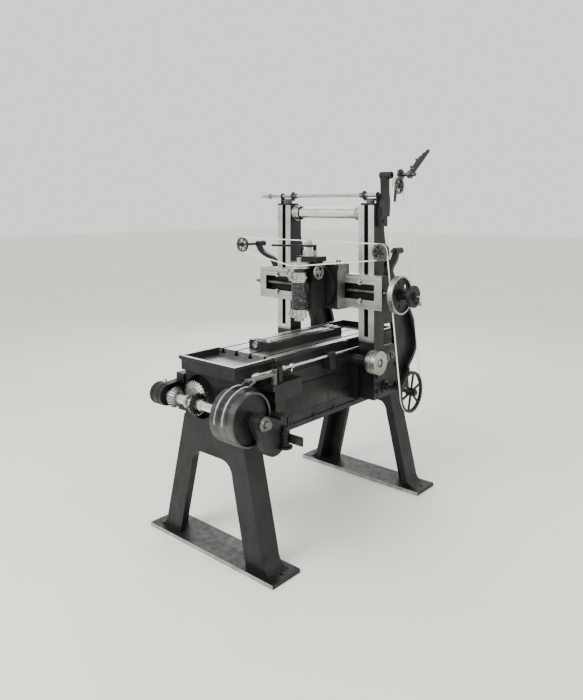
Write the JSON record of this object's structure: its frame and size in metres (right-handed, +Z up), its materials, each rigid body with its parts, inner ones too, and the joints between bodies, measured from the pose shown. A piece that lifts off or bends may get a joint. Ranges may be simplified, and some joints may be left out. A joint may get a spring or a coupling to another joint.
{
  "type": "planer type milling machine",
  "caption": "Double-column planer-type machine tool: T-slotted travelling table on a legged bed, cross-rail with a swivelling, belt-driven vertical spindle head, reversing screw drive",
  "frame": {"origin": "on the floor, centred between the two legs' soles", "axes": "+X along the table, away from the drive end; -Y the operator's side; +Z up"},
  "size_m": [1.525, 1.2373, 1.898],
  "materials": {
    "machine_enamel": "glossy near-black enamel over cast iron",
    "ground_iron": "planed and ground bare iron with long streaks",
    "turned_steel": "turned steel, lightly oiled",
    "polished_steel": "polished bright steel",
    "cord": "round white cord belt, twisted"
  },
  "bodies": {
    "frame": {"front_leg": "machine_enamel", "rear_leg": "machine_enamel", "bed": "machine_enamel", "left_housing": "machine_enamel", "right_housing": "machine_enamel", "frame_bolts": "machine_enamel", "brace_tube": "machine_enamel", "top_bearings": "machine_enamel", "gear_end_bearing": "machine_enamel", "outboard_bracket": "machine_enamel", "shifter_brackets": "machine_enamel", "tension_bracket": "machine_enamel", "wheel_bracket": "machine_enamel", "belt_wheel": "cord", "belt_back": "cord"},
    "table": {"table": "ground_iron", "table_nut": "machine_enamel", "vise_body": "machine_enamel"},
    "vise_jaw": {"vise_jaw": "ground_iron"},
    "vise_screw": {"vise_screw": "polished_steel"},
    "table_drive": {"table_screw": "turned_steel", "bevel_gear": "turned_steel"},
    "drive_shaft": {"cross_shaft": "turned_steel", "forward_pinion": "turned_steel", "forward_pulley": "turned_steel"},
    "reverse_drive": {"reverse_sleeve": "turned_steel", "reverse_pulley": "turned_steel"},
    "loose_pulley": {"loose_pulley": "turned_steel"},
    "shifter_rod": {"shifter_rod": "polished_steel"},
    "belt_fork": {"belt_fork": "turned_steel"},
    "rail": {"cross_rail": "ground_iron", "rail_bolts": "turned_steel", "left_arm": "machine_enamel", "right_arm": "machine_enamel", "belt_top": "cord", "belt_front": "cord"},
    "rail_drive": {"rail_screw": "turned_steel", "feed_disc": "turned_steel"},
    "left_idler": {"left_idler": "turned_steel"},
    "front_idler": {"front_idler": "turned_steel"},
    "rear_idler": {"rear_idler": "turned_steel"},
    "left_lift_screw": {"left_lift_screw": "turned_steel"},
    "right_lift_screw": {"right_lift_screw": "turned_steel"},
    "lift_shaft": {"lift_shaft": "turned_steel"},
    "saddle": {"saddle": "machine_enamel"},
    "swivel": {"swivel_plate": "machine_enamel", "depth_stop": "polished_steel"},
    "head": {"head_body": "machine_enamel", "clamp_collars": "polished_steel", "belt_head": "cord"},
    "spindle": {"spindle": "turned_steel", "spindle_pulley": "polished_steel"},
    "head_screw": {"head_screw": "polished_steel"},
    "head_handwheel": {"head_handwheel": "polished_steel"},
    "tension": {"tension_lever": "turned_steel", "belt_cap": "cord", "belt_feed": "cord"},
    "top_idler": {"top_idler": "turned_steel"},
    "feed_drum": {"feed_drum": "turned_steel"},
    "lower_wheel": {"lower_wheel": "machine_enamel"}
  },
  "joints": [
    {"name": "table_travel", "type": "slide", "parent": "frame", "child": "table", "axis": [1, 0, 0], "range_m": [-0.25, 0.25]},
    {"name": "table_screw_turn", "type": "hinge", "parent": "frame", "child": "table_drive", "pos_m": [-0.6, 0.08, 0.701], "axis": [1, 0, 0], "continuous": true},
    {"name": "drive_shaft_turn", "type": "hinge", "parent": "frame", "child": "drive_shaft", "pos_m": [-0.72, 0, 0.701], "axis": [0, 1, 0], "continuous": true},
    {"name": "reverse_turn", "type": "hinge", "parent": "frame", "child": "reverse_drive", "pos_m": [-0.72, 0, 0.701], "axis": [0, 1, 0], "continuous": true},
    {"name": "loose_turn", "type": "hinge", "parent": "frame", "child": "loose_pulley", "pos_m": [-0.72, -0.27, 0.701], "axis": [0, 1, 0], "continuous": true},
    {"name": "shifter_slide", "type": "slide", "parent": "frame", "child": "shifter_rod", "axis": [1, 0, 0], "range_m": [-0.009, 0.009]},
    {"name": "fork_swing", "type": "hinge", "parent": "frame", "child": "belt_fork", "pos_m": [-0.5, -0.262, 0.84], "axis": [0, 0, 1], "range_deg": [-4.5, 4.5]},
    {"name": "vise_grip", "type": "slide", "parent": "table", "child": "vise_jaw", "axis": [0, 1, 0], "range_m": [-0.013, 0.011]},
    {"name": "vise_rod_turn", "type": "hinge", "parent": "table", "child": "vise_screw", "pos_m": [0, -0.008, 0.912], "axis": [1, 0, 0], "continuous": true},
    {"name": "rail_lift", "type": "slide", "parent": "frame", "child": "rail", "axis": [0, 0, 1], "range_m": [-0.03, 0.18], "deforming": ["belt_front", "belt_feed"]},
    {"name": "left_lift_turn", "type": "hinge", "parent": "frame", "child": "left_lift_screw", "pos_m": [0.225, 0.2905, 1.4], "axis": [0, 0, 1], "continuous": true},
    {"name": "right_lift_turn", "type": "hinge", "parent": "frame", "child": "right_lift_screw", "pos_m": [0.225, -0.2905, 1.4], "axis": [0, 0, 1], "continuous": true},
    {"name": "lift_shaft_turn", "type": "hinge", "parent": "frame", "child": "lift_shaft", "pos_m": [0.225, 0, 1.653], "axis": [0, 1, 0], "continuous": true},
    {"name": "saddle_traverse", "type": "slide", "parent": "rail", "child": "saddle", "axis": [0, 1, 0], "range_m": [-0.06, 0.2], "deforming": ["belt_head"]},
    {"name": "rail_screw_turn", "type": "hinge", "parent": "rail", "child": "rail_drive", "pos_m": [0.1498, 0, 1.15], "axis": [0, 1, 0], "continuous": true},
    {"name": "head_swivel", "type": "hinge", "parent": "saddle", "child": "swivel", "pos_m": [0.0546, -0.07, 1.17], "axis": [1, 0, 0], "range_deg": [-25, 25]},
    {"name": "head_feed", "type": "slide", "parent": "swivel", "child": "head", "axis": [0, 0, 1], "range_m": [-0.03, 0]},
    {"name": "head_screw_turn", "type": "hinge", "parent": "swivel", "child": "head_screw", "pos_m": [-0.0186, -0.07, 1.35], "axis": [0, 0, 1], "continuous": true},
    {"name": "head_handwheel_turn", "type": "hinge", "parent": "head", "child": "head_handwheel", "pos_m": [-0.0442, -0.154, 1.255], "axis": [0, 1, 0], "continuous": true},
    {"name": "spindle_spin", "type": "hinge", "parent": "head", "child": "spindle", "pos_m": [-0.1002, -0.07, 1.2], "axis": [0, 0, 1], "continuous": true},
    {"name": "left_idler_spin", "type": "hinge", "parent": "rail", "child": "left_idler", "pos_m": [0.0948, 0.546, 1.363], "axis": [1, 0, 0], "continuous": true},
    {"name": "front_idler_spin", "type": "hinge", "parent": "rail", "child": "front_idler", "pos_m": [0.0878, -0.441, 1.363], "axis": [1, 0, 0], "continuous": true},
    {"name": "rear_idler_spin", "type": "hinge", "parent": "rail", "child": "rear_idler", "pos_m": [0.1098, -0.441, 1.363], "axis": [1, 0, 0], "continuous": true},
    {"name": "belt_tension", "type": "hinge", "parent": "frame", "child": "tension", "pos_m": [0.255, -0.45, 1.757], "axis": [0, 1, 0], "range_deg": [-6, 6], "deforming": ["belt_back"]},
    {"name": "top_idler_spin", "type": "hinge", "parent": "tension", "child": "top_idler", "pos_m": [0.192, -0.483, 1.7], "axis": [0, 1, 0], "continuous": true},
    {"name": "feed_drum_spin", "type": "hinge", "parent": "frame", "child": "feed_drum", "pos_m": [0.155, -0.35, 0.79], "axis": [0, 1, 0], "continuous": true},
    {"name": "lower_wheel_spin", "type": "hinge", "parent": "frame", "child": "lower_wheel", "pos_m": [0.285, -0.5, 0.635], "axis": [0, 1, 0], "continuous": true}
  ],
  "couplings": [
    {"joint": "table_screw_turn", "follows": "table_travel", "rad_per_m": 125.66},
    {"joint": "drive_shaft_turn", "follows": "table_travel", "rad_per_m": -209.44},
    {"joint": "reverse_turn", "follows": "table_travel", "rad_per_m": 209.44},
    {"joint": "fork_swing", "follows": "shifter_slide", "rad_per_m": 8.5},
    {"joint": "left_lift_turn", "follows": "rail_lift", "rad_per_m": -157.08},
    {"joint": "right_lift_turn", "follows": "rail_lift", "rad_per_m": 157.08},
    {"joint": "lift_shaft_turn", "follows": "rail_lift", "rad_per_m": 261.8},
    {"joint": "rail_screw_turn", "follows": "saddle_traverse", "rad_per_m": 125.66},
    {"joint": "head_screw_turn", "follows": "head_feed", "rad_per_m": 314.16},
    {"joint": "left_idler_spin", "follows": "lower_wheel_spin", "ratio": -2.4048},
    {"joint": "front_idler_spin", "follows": "lower_wheel_spin", "ratio": -2.4048},
    {"joint": "rear_idler_spin", "follows": "lower_wheel_spin", "ratio": -2.4048},
    {"joint": "top_idler_spin", "follows": "lower_wheel_spin", "ratio": 2.4048},
    {"joint": "spindle_spin", "follows": "lower_wheel_spin", "ratio": 1.8704}
  ]
}
